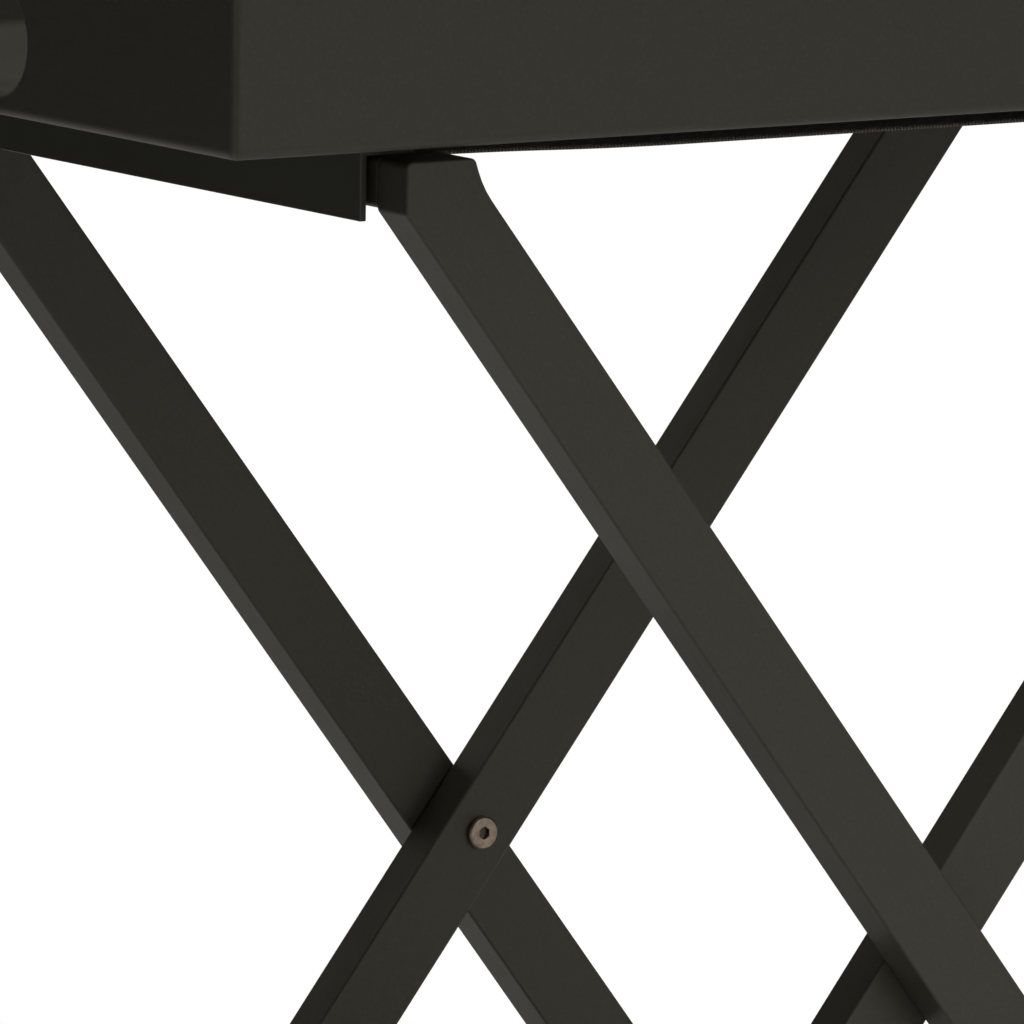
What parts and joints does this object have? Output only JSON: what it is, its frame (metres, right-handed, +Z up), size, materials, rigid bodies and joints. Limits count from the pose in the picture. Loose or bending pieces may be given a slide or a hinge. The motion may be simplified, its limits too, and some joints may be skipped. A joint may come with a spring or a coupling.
{
  "type": "folding tray table",
  "caption": "Rectangular tray with a hand-hold in each end, resting loose on a folding crossed-leg wooden stand with webbing straps.",
  "frame": {"origin": "on the floor under the middle of the table", "axes": "+X along the tray's long side, +Y to the rear, +Z up"},
  "size_m": [0.71, 0.412, 0.758],
  "materials": {
    "painted_wood": "dark olive charcoal satin paint over close-grained hardwood",
    "bare_wood": "unfinished beech, hidden in the joints",
    "painted_metal": "dark olive charcoal satin paint on sheet steel",
    "bolt_steel": "dull bronze-toned plated steel",
    "brass_fittings": "antique brass",
    "screw_steel": "black oxide steel",
    "washer_plastic": "black nylon",
    "glide_plastic": "dark brown plastic",
    "strap_webbing": "dark brown woven webbing"
  },
  "bodies": {
    "outer_frame": {"outer_leg_front": "painted_wood", "outer_leg_rear": "painted_wood", "outer_top_rail": "painted_wood", "outer_bottom_rail": "painted_wood", "outer_rail_dowels": "bare_wood", "outer_foot_glides": "glide_plastic", "strap_tacks_outer": "brass_fittings", "pivot_bolts": "bolt_steel", "pivot_inserts": "brass_fittings", "pivot_washers": "washer_plastic", "strap_front": "strap_webbing", "strap_rear": "strap_webbing"},
    "inner_frame": {"inner_leg_front": "painted_wood", "inner_leg_rear": "painted_wood", "inner_top_rail": "painted_wood", "inner_bottom_rail": "painted_wood", "inner_rail_dowels": "bare_wood", "inner_foot_glides": "glide_plastic", "strap_tacks_inner": "brass_fittings"},
    "tray": {"tray_front_wall": "painted_wood", "tray_rear_wall": "painted_wood", "tray_left_wall": "painted_wood", "tray_right_wall": "painted_wood", "tray_floor": "painted_wood", "corner_splines": "bare_wood", "bearing_batten_left": "painted_wood", "bearing_batten_right": "painted_wood", "keeper_plate_left": "painted_metal", "keeper_plate_right": "painted_metal", "batten_screws": "screw_steel", "keeper_screws": "screw_steel"}
  },
  "joints": [
    {"name": "stand_fold", "type": "hinge", "parent": "outer_frame", "child": "inner_frame", "pos_m": [0, 0, 0.34], "axis": [0, -1, 0], "range_deg": [0, 68], "deforming": ["strap_front", "strap_rear"]},
    {"name": "tray_lift", "type": "slide", "parent": "outer_frame", "child": "tray", "axis": [0, 0, 1], "range_m": [0, 0.36]}
  ],
  "couplings": [
    {"joint": "tray_lift", "follows": "stand_fold", "m_per_rad": 0.3}
  ]
}
